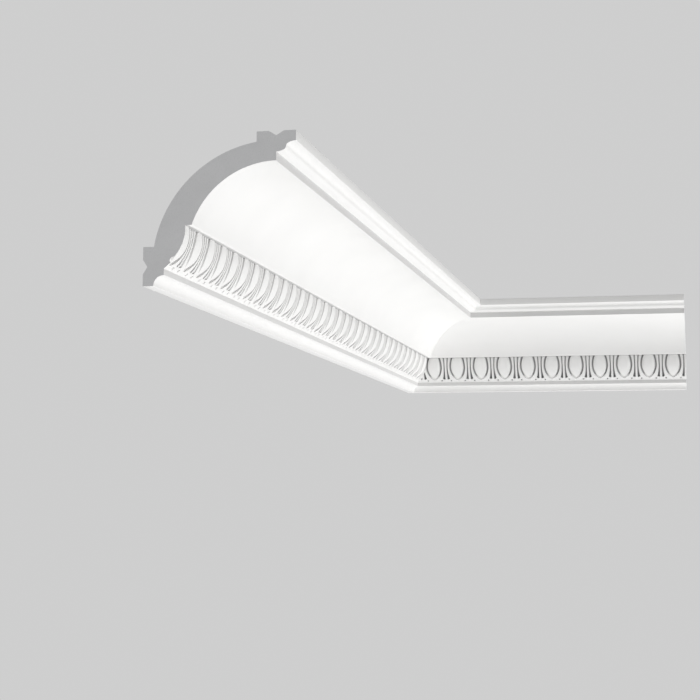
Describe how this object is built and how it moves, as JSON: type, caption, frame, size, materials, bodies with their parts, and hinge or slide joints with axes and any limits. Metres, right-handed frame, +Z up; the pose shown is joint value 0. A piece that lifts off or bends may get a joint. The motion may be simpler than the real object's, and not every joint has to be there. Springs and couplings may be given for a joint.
{
  "type": "cove moulding corner",
  "caption": "Inner corner of a cove moulding with an egg-and-dart band, mitred from a long and a short length, for the join of walls and ceiling.",
  "frame": {"origin": "on the long run's wall bed, halfway along it, between the glue groove and the lower edge", "axes": "+Z up to the ceiling, -X into the wall that carries the long run, +Y along the long run to the inner corner, +X along the short run"},
  "size_m": [0.35, 1, 0.105],
  "materials": {
    "white_primer": "smooth matt white primer on hard foam, grey on the sawn ends"
  },
  "bodies": {
    "root": {"long_run": "white_primer", "short_run": "white_primer"}
  },
  "joints": []
}
